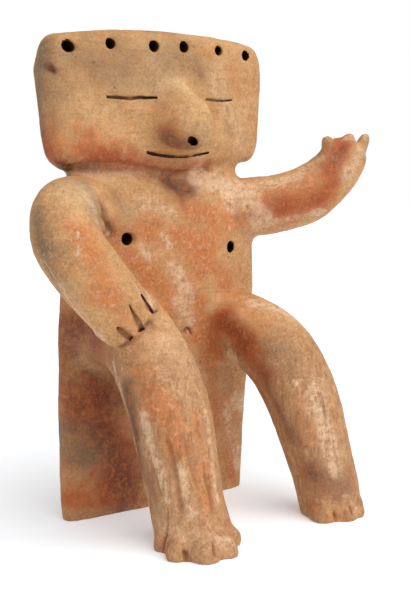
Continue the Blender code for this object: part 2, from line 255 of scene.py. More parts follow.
# Lines pressed in with a blade: widths along it, depth, the share of the width left at the bottom, and how
# far off, in pixels, the clay is untouched. Each is filled in the solid and drawn finer, and so are the navel
# and the pit in the head's edge
PRESSED_LINES = {
    "right eye": {"pixels": ((106.5, 97.0), (115, 97.2), (128, 98.4), (142, 97.6), (157.5, 97.8)),
                  "widths": (1.8, 2.2, 1.8, 2.1, 1.7, 1.0), "depth": 2.6, "bottom": 0.5, "reach": 3},
    "left eye": {"pixels": ((205.5, 99.2), (214, 100.6), (224, 101.0), (232, 99.8)),
                 "widths": (1.5, 1.8, 1.7, 1.3, 0.7), "depth": 2.1, "bottom": 0.5, "reach": 3},
    "mouth": {"pixels": ((146.5, 152.4), (158, 155.0), (172, 156.6), (186, 156.6), (198, 155.0),
                         (209, 152.6)),
              "widths": (1.5, 2.1, 2.3, 2.3, 2.0, 1.1), "depth": 3.6, "bottom": 0.6, "reach": 3},
    "first finger line": {"pixels": ((141.0, 294.0), (147, 304), (153.2, 313.6)),
                          "widths": (0.4, 1.6, 2.4, 1.6), "depth": 2.2, "bottom": 0.6, "reach": 5},
    "second finger line": {"pixels": ((129.0, 304.8), (136, 318), (142.6, 330.6)),
                           "widths": (0.5, 2.0, 3.6, 3.2), "depth": 2.7, "bottom": 0.6, "reach": 5},
    "third finger line": {"pixels": ((116.5, 327.6), (124, 333.4), (131.6, 339.4)),
                          "widths": (1.2, 3.9, 4.4, 3.0), "depth": 2.2, "bottom": 0.6, "reach": 5},
}
EDGE_PIT = {"pixels": ((43, 68.5), (58, 69.5)), "reach": 6}
FILL_DEPTH = 5.5
# Pixels between the places that a line is read at
LINE_STEP = 3
# The navel's middle in parts, filled to just under the skin, the filling's radius in millimetres and its
# depth in metres
NAVEL = (3.5, -15.9, 105.2)
NAVEL_RADIUS = 3.2
NAVEL_FILL = 0.004

# Grooves drawn with a finger: pixels along the line, half width, depth
GROOVES = {
    "middle shin": ((165, 434), (171, 452), (176, 476), (180, 500), (180, 517), 1.9, 1.4),
    "inner shin": ((186, 440), (190, 462), (198, 490), 2.0, 1.0),
    "outer shin": ((204, 470), (210, 492), (214, 515), 1.5, 1.3),
    "shin flank": ((150, 458), (156, 480), (163, 502), 1.4, 1.0),
    "shin top": ((196, 416), (199, 432), 1.4, 0.4),
    "small toe": ((167, 533), (164, 542), (163, 552), 1.1, 1.8),
    "second toe": ((184.5, 549), (185.5, 555), (186, 562), 1.2, 2.3),
    "third toe": ((213.5, 541), (214.8, 549), (215.6, 558), 1.2, 2.2),
    "last toe": ((233, 535), (236, 542), (238.5, 551), 1.0, 1.8),
    "left foot middle": ((334, 511), (335, 516), (335.6, 522), 1.0, 2.0),
    "left foot outer": ((350.5, 505), (351.5, 510), (352.6, 516), 1.0, 2.0),
    "left shin scratch": ((322, 398), (324, 410), (327, 432), 0.9, 0.8),
    "left shin scar": ((302, 446), (308, 450), (311, 459), 0.9, 0.7),
    "arm crease": ((99, 198), (103, 216), (110, 232), 1.3, 1.6),
    "navel's rim": ((183.8, 333), (185, 329.5), (187.5, 328), (190.2, 329.5), (191, 332.5), (193, 336),
                    0.7, 1.9),
    "fingertip crevice": ((156, 311), (149, 322), (141, 332), (131, 340), (121, 346), 0.8, 1.0),
    "under the jaw": ((62, 166), (84, 163), (118, 163), (150, 168), (178, 172), (205, 170), 1.6, 0.9),
    "elbow scar": ((43, 262), (49, 271), (55, 281), 0.9, 0.8),
    "elbow ridge": ((45, 259), (52, 269), (58, 279), 0.8, -0.5),
    "nostril fold": ((162, 143), (170, 148), (182, 151), 1.4, 0.5),
    "nose's far side": ((200, 99), (206.5, 111), (209, 123), (208, 135), (200, 145), 3.0, -1.3),
    "beside the nose": ((212, 102), (217, 114), (219.5, 126), (217.5, 138), (210, 148), 1.1, 0.5),
}

# Pits where grit fell out, and two lumps: pixel, radius, depth
PITS = {
    "chip in the head's edge": (50, 68, 2.3, 2.4),
    "chip's lower half": (54, 72, 1.4, 1.6),
    "over the right eye": (115, 88, 0.9, 0.9),
    "beside the navel": (194.5, 337, 0.8, 0.9),
    "right cheek": (231, 128, 1.0, 0.7),
    "right cheek low": (226, 132, 0.8, 0.5),
    "belly": (201, 362, 1.1, 1.0),
    "belly low": (201, 357, 0.9, 0.8),
    "belly lowest": (199, 375, 0.8, 0.7),
    "chest": (222, 262, 1.1, 0.8),
    "upper arm": (51, 237, 0.9, 0.8),
    "forearm": (92, 289, 1.5, 0.6),
    "slab": (72, 398, 1.2, 0.9),
    "slab high": (64, 344, 1.0, 0.8),
    "slab low": (126, 474, 1.2, 0.9),
    "slab foot": (96, 480, 1.0, 0.7),
    "slab edge": (90, 478, 0.9, 0.6),
    "foot": (164, 538, 1.1, 0.8),
    "foot side": (206, 541, 0.9, 0.6),
    "thigh": (291, 341, 0.9, 0.5),
    "pebble in the left knee": (294.4, 382.5, 2.3, -1.1),
    "lump on the head's edge": (49, 86, 3.0, -0.6),
}
# The bowed head plate in parts: middle, half width, core's level, how far its sides bow back, half its
# thickness, and the share that its sides are thinner
HEAD_MIDDLE, HEAD_HALF = -5.0, 77.0
HEAD_LEVEL, HEAD_BOW = -6.5, 8.0
HEAD_THICK, HEAD_THINNER = 10.25, 0.14

# Holes along the head: across and height in parts, share of the driving diameter, flare, how oval
HEAD_HOLES = ((-69.6, 268.6, 1.12, 0.8, 1.3), (-44.8, 271.2, 1.12, 0.7, 0.98), (-17.2, 271.0, 1.22, 0.8, 1.0),
              (3.8, 271.6, 1.18, 0.8, 1.0), (31.1, 271.0, 0.98, 0.5, 1.0), (54.3, 269.4, 1.08, 0.6, 0.9))
# The other punches' places in parts, each way in, and depths in metres
STRAIGHT_IN = (0, 1, 0)
NOSE_HOLE, NOSE_HOLE_WAY = (-12.0, -42.0, 217.5), (0.8, 0.6, 0)
RIGHT_NIPPLE, LEFT_NIPPLE = (-36.8, -16.6, 162.2), (38.8, -15.1, 154.1)
HOLE_INSET, HOLE_DEPTH = 0.3, 0.04
NOSE_HOLE_DEPTH, NIPPLE_DEPTH = 0.012, 0.009
# How finely a punch is rounded and a pressed line is followed
RING_POINTS = 28
SLIT_RINGS = 44

GRIT_PITS = 300
GRIT_SEED = 5
# Grit is thickest below the first height in parts, thinner below the second and rare above it
GRIT_HEIGHTS = (110, 200)
GRIT_THICK, GRIT_THINNER, GRIT_RARE = 0.25, -0.1, -0.9
# A grit pit's smallest and largest radius and depth, and its reach in metres
GRIT_SMALLEST, GRIT_LARGEST = (0.4, 0.2), (1.0, 0.7)
GRIT_REACH = 0.003
# Depths at which the finish takes a pit of grit, or a groove, as full
GRIT_FULL = 0.5
PRESSED_FULL = 1.6
# How a groove fades toward its ends: slope, and share of the depth left at the very end
FADE_SLOPE, FADE_END = 5, 0.35
# Unevenness of the hand-modelled skin: depth, width in metres, seed
UNEVENNESS = ((0.34, 0.021, 3), (0.20, 0.0085, 5), (0.11, 0.0036, 8), (0.05, 0.0019, 9))


def sides_of(tree, pixels, reach):
    """Places on the clay at both sides of a line of pixels, and the direction into the clay at each."""
    line = np.array(pixels, dtype=float)
    count = max(3, int(np.linalg.norm(np.diff(line, axis=0), axis=1).sum() / LINE_STEP))
    steps = np.linspace(0, len(line) - 1, count)
    spots = np.stack([np.interp(steps, range(len(line)), line[:, k]) for k in (0, 1)], axis=1)
    ahead = np.gradient(spots, axis=0)
    ahead /= np.linalg.norm(ahead, axis=1)[:, None]
    across = np.stack([ahead[:, 1], -ahead[:, 0]], axis=1) * reach
    over = np.array([on_clay(tree, *spot) for spot in spots + across])
    under = np.array([on_clay(tree, *spot) for spot in spots - across])
    inward = np.array([photo_ray(*spot)[1] for spot in spots])
    return over, under, inward


def fill(over, under, inward):
    """Strip of clay that fills a line, flush with the skin at both its sides."""
    sunk = inward * FILL_DEPTH * MM
    end = (over[0] - over[1] + under[0] - under[1]) / 2
    over, under = np.vstack([over[:1] + end, over]), np.vstack([under[:1] + end, under])
    sunk = np.vstack([sunk[:1], sunk])
    return skin("filling", [[a, b, b + s, a + s] for a, b, s in zip(over, under, sunk)])


def press(points, tree):
    """Depth in millimetres that the grooves and the named pits take from each point."""
    sink = np.zeros(len(points))
    for *spots, half, depth in GROOVES.values():
        route = [on_clay(tree, *spot) for spot in spots]
        best = np.zeros(len(points))
        for i, (first, last) in enumerate(zip(route, route[1:])):
            away, along = to_line(points, first, last)
            through = (i + along) / (len(route) - 1)
            fade = np.clip(np.minimum(through, 1 - through) * FADE_SLOPE + FADE_END, 0, 1)
            best = np.maximum(best, fade * np.exp(-(away / (half * MM)) ** 2))
        sink += depth * best
    for across, down, radius, depth in PITS.values():
        away = np.linalg.norm(points - on_clay(tree, across, down), axis=1)
        away *= 1 + 0.35 * smooth_noise(points, 0.0021, 31)
        sink += depth * np.exp(-(away / (radius * MM)) ** 4)
    return sink


def scatter_grit(points):
    """Depth in millimetres of the small pits strewn over the clay, thickest on the plate and the thighs."""
    draw = np.random.default_rng(GRIT_SEED)
    centres = points[draw.choice(len(points), GRIT_PITS * 3, replace=False)]
    heights = (centres[:, 2] - LOW.z) / PART
    likely = np.select([heights < top for top in GRIT_HEIGHTS], [GRIT_THICK, GRIT_THINNER], GRIT_RARE)
    gritty = smooth_noise(centres, 0.030, 77) + likely
    centres = centres[np.argsort(-gritty)][:GRIT_PITS]
    sink = np.zeros(len(points))
    order = np.argsort(points[:, 2])
    heights = points[order, 2]
    sizes = draw.uniform(GRIT_SMALLEST, GRIT_LARGEST, (len(centres), 2))
    for centre, (radius, depth) in zip(centres, sizes):
        first, last = np.searchsorted(heights, (centre[2] - GRIT_REACH, centre[2] + GRIT_REACH))
        near = order[first:last]
        away = np.linalg.norm(points[near] - centre, axis=1)
        sink[near] += depth * np.exp(-(away / (radius * MM)) ** 4)
    return sink


def draw_detail(mesh, tree):
    """Press the grooves and the pits into the clay and give it a hand-modelled unevenness."""
    points, normals = points_of(mesh), normals_of(mesh)
    grit = scatter_grit(points)
    pressed = press(points, tree)
    sink = pressed + grit
    for depth, width, seed in UNEVENNESS:
        sink += depth * smooth_noise(points, width, seed)
    write_mask(mesh, "grit", grit / GRIT_FULL)
    write_mask(mesh, "pressed", pressed / PRESSED_FULL)
    standing = np.clip((points[:, 2] - LOW.z) / DETAIL_RISE, 0, 1)
    points -= normals * (sink * standing * MM)[:, None]
    set_points(mesh, np.clip(points, np.array(LOW), np.array(HIGH)))


def skin(name, rings):
    """Closed mesh object over equal rings of points, with flat ends."""
    bm = bmesh.new()
    loops = [[bm.verts.new(point) for point in ring] for ring in rings]
    for low, high in zip(loops, loops[1:]):
        for i in range(len(low)):
            j = (i + 1) % len(low)
            bm.faces.new((low[i], low[j], high[j], high[i]))
    ends = [bm.faces.new(loops[0][::-1]), bm.faces.new(loops[-1])]
    bmesh.ops.triangulate(bm, faces=ends)
    bmesh.ops.recalc_face_normals(bm, faces=bm.faces)
    mesh = bpy.data.meshes.new(name)
    bm.to_mesh(mesh)
    bm.free()
    return new_object(name, mesh)


def ring_round(middle, side, other, wide, high, wobble, seed):
    """Ring of points, a little out of round."""
    ring = []
    for i in range(RING_POINTS):
        angle = 2 * math.pi * i / RING_POINTS
        uneven = 1 + wobble * math.sin(2 * angle + seed) + wobble * 0.6 * math.sin(3 * angle + 2.1 * seed)
        ring.append(middle + (side * math.cos(angle) * wide + other * math.sin(angle) * high) * uneven)
    return ring


def face_front(x):
    """Front of the bowed head plate, in parts, at a place across it."""
    u = (x - HEAD_MIDDLE) / HEAD_HALF
    return HEAD_LEVEL + HEAD_BOW * u * u - HEAD_THICK * (1 - HEAD_THINNER * u * u)


def punches(sizes):
    """The reed's punches: place in parts, way in, diameter, depth, flare of the rim in metres, how oval."""
    made = [((x, face_front(x) + HOLE_INSET, z), STRAIGHT_IN, sizes.hole_diameter * share, HOLE_DEPTH,
             flare * MM, oval) for x, z, share, flare, oval in HEAD_HOLES]
    made.append((NOSE_HOLE, NOSE_HOLE_WAY, sizes.nose_hole_diameter, NOSE_HOLE_DEPTH, 0.0009, 1.0))
    made.append((RIGHT_NIPPLE, STRAIGHT_IN, sizes.nipple_diameter, NIPPLE_DEPTH, 0.0009, 1.0))
    made.append((LEFT_NIPPLE, STRAIGHT_IN, sizes.nipple_diameter, NIPPLE_DEPTH, 0.0006, 0.8))
    return made


def punch(spot, toward, diameter, depth, flare, oval, seed):
    """Cutter of a reed pushed into the clay: wide at the rim, slightly tapered, out of round."""
    toward = np.array(toward, dtype=float)
    side = np.cross(toward, (0.0, 0.0, 1.0))
    other = np.cross(toward, side)
    radius = diameter / 2
    # how far in, and how much wider than the reed
    steps = [(-0.006, flare * 1.9), (-0.0016, flare * 1.9), (-0.0002, flare), (0.0008, flare * 0.35)]
    inner = np.linspace(0.0018, depth, max(3, round(depth / 0.002)))
    steps += [(at, -radius * 0.12 * at / depth) for at in inner]
    rings = [ring_round(place(spot) + toward * at, side, other, (radius + more) * oval, radius + more,
                        0.035, seed) for at, more in steps]
    return skin("punch", rings)


def down_a_punch(points, sizes):
    """How far inside a punched hole each point lies, from 0 at its rim to 1."""
    deep = np.zeros(len(points))
    for spot, toward, diameter, depth, _, oval in punches(sizes):
        from_rim = points - place(spot)
        along = from_rim @ np.array(toward, dtype=float)
        away = np.linalg.norm(from_rim - along[:, None] * np.array(toward), axis=1)
        inside = (away < diameter / 2 * max(oval, 1.0) * 1.05) & (along < depth + 0.001)
        deep = np.maximum(deep, inside * np.clip((along - 0.0005) / 0.0018, 0, 1))
    return deep


def slit(name, over, under, inward, widths, depth, bottom, seed):
    """Cutter of a line pressed with a blade: a ragged wedge along the middle of two rows of places."""
    along, knots = np.linspace(0, 1, SLIT_RINGS), np.linspace(0, 1, len(over))

    def even(rows):
        """Rows spread evenly along the line."""
        return np.stack([np.interp(along, knots, rows[:, k]) for k in range(3)], axis=1)

    middle, inward = even((over + under) / 2), even(inward)
    ahead = np.gradient(middle, axis=0)
    ahead /= np.linalg.norm(ahead, axis=1)[:, None]
    width = np.interp(along, np.linspace(0, 1, len(widths)), widths) * MM
    ragged, uneven = smooth_noise(middle, 0.0022, seed), smooth_noise(middle, 0.0045, seed + 1)
    rings = []
    for i in range(SLIT_RINGS):
        side = np.cross(ahead[i], inward[i])
        side /= np.linalg.norm(side)
        half = width[i] / 2 * (1 + 0.20 * ragged[i])
        centre = middle[i] + side * 0.0002 * uneven[i]
        # how far in, and the half width there as a share
        steps = ((-3.0, 1.7), (-0.5, 1.4), (0.5, 1.0), (depth, bottom))
        left = [centre + (inward[i] * at * MM + side * half * share) for at, share in steps]
        right = [centre + (inward[i] * at * MM - side * half * share) for at, share in steps]
        rings.append(left + right[::-1])
    return skin(name, rings)


def line_cutters(lines, tree, seed):
    """Cutters of some pressed lines."""
    return [slit(name, *sides_of(tree, line["pixels"], line["reach"]), line["widths"], line["depth"],
                 line["bottom"], seed + 3 * i) for i, (name, line) in enumerate(lines.items())]


def cut(item, cutters):
    """Take cutters that keep clear of each other out of the clay in one cut."""
    bm = bmesh.new()
    for cutter in cutters:
        bm.from_mesh(cutter.data)
        bpy.data.objects.remove(cutter, do_unlink=True)
    mesh = bpy.data.meshes.new("openings")
    bm.to_mesh(mesh)
    bm.free()
    openings = new_object("openings", mesh)
    boolean = item.modifiers.new("openings", "BOOLEAN")
    boolean.operation = "DIFFERENCE"
    boolean.solver = "EXACT"
    boolean.object = openings
    apply_modifiers(item)
    bpy.data.objects.remove(openings, do_unlink=True)


def thin_out(item, limit):
    """Keep the faces under a limit, most of them where the form turns."""
    item.data.calc_loop_triangles()
    share = limit / len(item.data.loop_triangles)
    if share < 1:
        fewer = item.modifiers.new("fewer faces", "DECIMATE")
        fewer.ratio = share
        apply_modifiers(item)


# Stains, wear, painted shade and painted light: strokes between two pixels of the photograph, with a radius
# in millimetres and a strength

STAINS = {}
STAINS["orange"] = {
    "beside the right nipple": (112, 232, 150, 275, 8, 0.95),
    "middle chest": (142, 228, 208, 248, 10, 0.85),
    "left chest": (188, 208, 230, 222, 8, 0.95),
    "low chest": (198, 250, 228, 282, 9, 0.75),
    "belly": (150, 284, 172, 302, 11, 0.75),
    "forearm": (80, 232, 108, 292, 9, 0.9),
    "right hand": (108, 300, 138, 326, 7, 0.5),
    "belly's side": (196, 296, 205, 332, 8, 0.95),
    # Under the belly, beside the left thigh and on the plate's right side the orange is partly painted light:
    # the lit band between the legs, and the plate brightened where it lies in shade
    "under the belly": (213, 356, 218, 420, 7, 1.0),
    "beside the left thigh": (204, 340, 214, 352, 8, 1.0),
    "plate, right side": (226, 400, 233, 472, 8, 0.8),
    "cheek": (60, 122, 158, 140, 9, 0.3),
    "jaw": (44, 141, 106, 153, 8, 0.9),
    "nose": (162, 110, 178, 124, 7, 0.35),
    "left arm": (262, 196, 330, 184, 10, 0.8),
    "left arm underside": (252, 214, 322, 204, 10, 1.0),
    "right shin": (164, 400, 176, 452, 9, 0.7),
    "right knee's side": (140, 372, 150, 410, 7, 0.6),
    "right shin's inner side": (197, 420, 204, 460, 6, 0.5),
    "right shin low": (196, 470, 206, 505, 5, 0.6),
    "left thigh": (238, 304, 262, 322, 8, 0.55),
    "right foot's side": (157, 535, 166, 555, 5, 0.7),
    "left foot": (312, 510, 345, 520, 5, 0.6),
    "plate's edge": (58, 330, 60, 398, 5, 0.8),
    "plate's corner": (66, 480, 90, 503, 8, 0.6),
    "head's left edge": (230, 68, 238, 92, 5, 0.55),
    "left shin": (300, 400, 312, 440, 6, 0.4),
}
STAINS["red"] = {
    "jaw": (43, 145, 100, 157, 8, 1.0),
    "jaw's corner": (45, 150, 60, 164, 5, 0.7),
    "low head edge": (98, 159, 205, 166, 7, 1.0),
    "chin mark": (134, 150, 142, 158, 4, 0.45),
    "nose side": (164, 130, 178, 143, 6.5, 1.0),
    "left arm underside": (256, 214, 320, 203, 8, 0.75),
    "left arm middle": (268, 200, 330, 194, 6, 0.3),
    "left forearm": (318, 200, 336, 182, 6, 0.7),
    "left palm": (331, 168, 343, 142, 8, 1.0),
    "left thigh root": (222, 318, 250, 344, 9, 1.0),
    # Under the left thigh the red is partly the thigh's painted shadow
    "under the left thigh": (240, 342, 266, 376, 7, 0.75),
    "under the belly": (221, 352, 224, 410, 1.8, 0.9),
    "plate, right side": (230, 430, 238, 478, 9, 0.3),
    "plate behind the hand": (64, 322, 100, 345, 12, 0.7),
    "plate, left edge": (64, 350, 66, 425, 8, 0.6),
    "plate middle": (95, 405, 125, 480, 17, 1.0),
    "plate foot": (70, 500, 135, 500, 8, 0.7),
    "outer right shin": (128, 405, 142, 470, 6, 0.4),
    "left ankle": (308, 478, 340, 488, 7, 0.5),
    "under the right elbow": (62, 292, 82, 318, 5, 0.3),
}
# Umber is partly dirt and partly painted shade. Under the jaw and chin, the neck hollow, the plate behind and
# below the right leg and its left edge, the legs' sides turned from the light, the left thigh's root, the arm
# crease, under the nose and the fingertips' crevice it is painted shade; the pressed lines, the navel, the
# chip, the ankle and the small marks are dirt
STAINS["umber_and_shade"] = {
    "under the jaw": (62, 166, 95, 166, 4, 0.9),
    "under the chin": (100, 168, 205, 171, 3, 0.6),
    "neck hollow": (164, 178, 186, 190, 7.5, 0.95),
    "neck hollow's foot": (180, 194, 183, 206, 3.5, 0.45),
    "plate behind the leg": (86, 338, 110, 398, 15, 0.5),
    "plate low": (96, 430, 130, 488, 13, 0.7),
    "plate left": (64, 330, 70, 470, 12, 0.45),
    "right leg's outer side": (127, 392, 140, 462, 6, 0.85),
    "right leg's outer side, low": (150, 478, 157, 502, 5, 0.5),
    "left thigh root": (226, 322, 244, 340, 5, 0.4),
    "arm crease": (102, 208, 110, 232, 3, 0.8),
    "nose smudge": (164, 137, 186, 146, 5.5, 0.75),
    "round the nose hole": (190, 136, 200, 146, 3.5, 0.5),
    "left palm": (335, 160, 342, 150, 3.5, 0.5),
    "fingertips": (155, 312, 149, 322, 1.6, 1.0),
    "fingertips low": (149, 322, 122, 346, 2.2, 1.0),
    "navel's left side": (184.6, 331, 187.5, 328.2, 0.9, 1.0),
    "navel's right side": (187.5, 328.2, 191, 332.5, 0.9, 1.0),
    "first finger line": (147, 303, 153, 313, 0.9, 0.9),
    "second finger line": (135, 316, 142, 330, 1.7, 0.95),
    "third finger line": (119, 329.5, 130, 338, 2.2, 0.95),
    "left ankle": (314, 472, 344, 486, 7, 0.75),
    "left shin scratch": (322, 400, 327, 432, 1.4, 0.8),
    "chip in the head's edge": (47, 66, 54, 70, 3.4, 1.0),
    "chip's middle": (48, 67, 53, 70, 2.2, 1.0),
    "left leg's inner side": (262, 372, 292, 440, 4, 0.55),
    "cheek specks": (228, 126, 232, 134, 3, 0.45),
    "brow mark": (197, 66, 200, 74, 4, 0.4),
}
# Fire clouds, and painted shade on sides turned from the light: the head's right edge, the outer right arm
# and under the nose are grey partly as shade
STAINS["soot_and_shade"] = {
    "head's right edge": (44, 48, 39, 130, 7, 1.0),
    "beside the head's right edge": (60, 60, 56, 112, 12, 0.4),
    "forehead": (84, 60, 170, 62, 15, 0.45),
    "forehead low": (100, 78, 165, 86, 10, 0.35),
    "over the nose": (165, 60, 200, 72, 12, 0.35),
    "outer right arm": (36, 212, 44, 250, 7, 0.9),
    "right elbow": (46, 255, 60, 288, 6, 0.55),
    "upper arm blotch": (58, 246, 66, 252, 4, 0.4),
    "right chest": (112, 192, 128, 214, 8, 0.45),
    "plate cloud": (58, 444, 90, 456, 11, 0.9),
    "plate foot": (70, 516, 130, 508, 4, 0.6),
    "left knee": (270, 343, 290, 362, 9, 0.5),
    "left ankle": (312, 480, 345, 486, 6, 0.4),
    "under the nose": (174, 138, 192, 146, 5, 0.35),
    "nose tip": (205, 136, 211, 146, 4, 0.4),
    "left little finger": (366, 134, 369, 146, 3, 0.5),
    "inner upper arm": (80, 184, 98, 214, 10, 0.8),
    "plate, left low": (60, 425, 64, 440, 8, 0.5),
}
STAINS["pale"] = {
    "right shoulder": (62, 190, 84, 190, 9, 0.4),
    "inner upper arm": (90, 200, 99, 225, 6, 0.5),
    "inner forearm": (106, 235, 150, 302, 3.2, 0.85),
    "outer forearm": (60, 286, 104, 340, 3.5, 0.65),
    "collar": (84, 176, 140, 173, 5, 0.5),
    "right chest": (142, 204, 174, 212, 6, 0.55),
    "left collar": (196, 178, 235, 188, 8, 0.9),
    "left shoulder": (232, 196, 258, 222, 9, 0.55),
    "chest flake": (163, 236, 170, 246, 3, 0.8),
    "nipple flake": (141, 244, 148, 258, 3, 0.7),
    "chest patch": (172, 265, 190, 298, 6, 0.7),
    "belly patch": (176, 302, 192, 322, 6, 0.65),
    "left cheek": (215, 80, 245, 150, 10, 0.5),
    "left arm top": (250, 187, 300, 175, 6, 0.7),
    "left arm flakes": (250, 200, 268, 212, 5, 0.5),
    "left elbow": (345, 176, 361, 150, 5, 0.75),
    "left arm's edge": (262, 224, 316, 212, 4, 0.6),
    "left wrist": (300, 168, 322, 158, 5, 0.6),
    "left fingers": (348, 138, 366, 136, 4, 0.6),
    "left arm's worn spot": (314, 213, 323, 212, 2.5, 0.9),
    "left thigh": (255, 303, 300, 322, 8, 0.75),
    "right knee": (145, 334, 190, 365, 11, 0.45),
    "knee's top": (162, 318, 184, 342, 7, 0.5),
    "shin ridge": (143, 415, 166, 500, 4, 0.85),
    "leg's contour": (113, 362, 137, 452, 1.6, 0.8),
    "inner shin ridge": (178, 468, 190, 515, 4, 0.8),
    "shin top": (165, 375, 190, 405, 7, 0.4),
    "shin edge": (205, 410, 218, 500, 3, 0.6),
    "right foot": (165, 530, 215, 540, 9, 0.55),
    "last toes": (225, 540, 236, 550, 4, 0.5),
    "plate beside the left thigh": (232, 356, 242, 405, 6, 0.9),
    # On the plate's right side low the pale is partly painted light, brightening it in the left leg's shade
    "plate, right side low": (226, 410, 238, 465, 7, 0.65),
    "left shin": (315, 395, 335, 470, 9, 0.65),
    "left foot": (345, 496, 357, 511, 5, 0.5),
    "pebble in the left knee": (294, 382, 295, 383, 2.2, 0.9),
}
# Film where the clay was rubbed smooth, and a painted highlight where light catches the nose's ridge and
# front
STAINS["film_and_highlight"] = {
    "nose ridge": (180, 82, 205, 104, 6, 0.8),
    "nose's front": (194, 108, 206, 132, 9, 0.5),
    "brow": (150, 76, 176, 84, 10, 0.3),
    "cheek middle": (112, 114, 150, 126, 15, 0.3),
    "right shoulder": (56, 192, 80, 196, 11, 0.5),
    "left thigh": (255, 303, 300, 322, 9, 0.4),
}
STAINS["scratch"] = {
    "upper arm": (78, 232, 78, 256, 0.5, 0.8),
    "elbow": (45, 262, 54, 277, 0.7, 0.7),
    "hand's edge": (132, 281, 141, 297, 0.8, 0.3),
}
STAIN_SEED = 40
# Rays that look for the sky, and in metres how far clay can hide it and how far off the skin a ray starts.
# The share of sky that clay hides is painted on the clay as shade
SKY_RAYS = 16
SHELTER_REACH = 0.012
RAY_LIFT = 0.00025


def stain_mask(points, strokes, tree, seed):
    """Strength of one kind of stain, painted shade or painted light at each point, with uneven edges."""
    uneven = 1 + 0.35 * smooth_noise(points, 0.011, seed) + 0.25 * smooth_noise(points, 0.0045, seed + 1)
    clear = np.ones(len(points))
    for x0, y0, x1, y1, radius, strength in strokes.values():
        away, _ = to_line(points, on_clay(tree, x0, y0), on_clay(tree, x1, y1))
        clear *= 1 - strength * np.exp(-(away * uneven / (radius * MM)) ** 2)
    return 1 - clear


def shelter(mesh, tree):
    """Share of the sky that nearby clay hides from each vertex."""
    points, normals = points_of(mesh), normals_of(mesh)
    golden_turn = math.pi * (3 - math.sqrt(5))
    hidden = np.zeros(len(points))
    ways = []
    for i in range(SKY_RAYS):
        rise = math.sqrt((i + 0.5) / SKY_RAYS)
        flat = math.sqrt(1 - rise * rise)
        ways.append((math.cos(golden_turn * i) * flat, math.sin(golden_turn * i) * flat, rise))
    helper = np.where(np.abs(normals[:, 2:3]) < 0.9, (0.0, 0.0, 1.0), (1.0, 0.0, 0.0))
    side = np.cross(normals, helper)
    side /= np.linalg.norm(side, axis=1)[:, None]
    other = np.cross(normals, side)
    starts = points + normals * RAY_LIFT
    for a, b, c in ways:
        casts = side * a + other * b + normals * c
        for i in range(len(points)):
            if tree.ray_cast(starts[i], casts[i], SHELTER_REACH)[0] is not None:
                hidden[i] += 1
    return hidden / SKY_RAYS


def write_mask(mesh, name, values):
    """Store a value for each vertex."""
    layer = mesh.attributes.new(name, "FLOAT", "POINT")
    layer.data.foreach_set("value", np.clip(values, 0, 2).astype(np.float32))


def stain_clay(mesh, sizes):
    """Write the masks that the clay's finish reads."""
    tree = tree_of(mesh)
    points = points_of(mesh)
    for i, (name, strokes) in enumerate(STAINS.items()):
        write_mask(mesh, name, stain_mask(points, strokes, tree, STAIN_SEED + 7 * i))
    # The hidden share of sky is painted in the finish as shade, together with soil
    write_mask(mesh, "hollow", shelter(mesh, tree))
    # Down the punched holes the finish paints shade together with dirt
    write_mask(mesh, "bore", down_a_punch(points, sizes))


# Finish

def add(tree, kind, links=None, **settings):
    """Add a node with its settings, and set or link its inputs."""
    made = tree.nodes.new(kind)
    for name, value in settings.items():
        setattr(made, name, value)
    for key, value in (links or {}).items():
        if isinstance(value, bpy.types.NodeSocket):
            tree.links.new(value, made.inputs[key])
        else:
            made.inputs[key].default_value = value
    return made


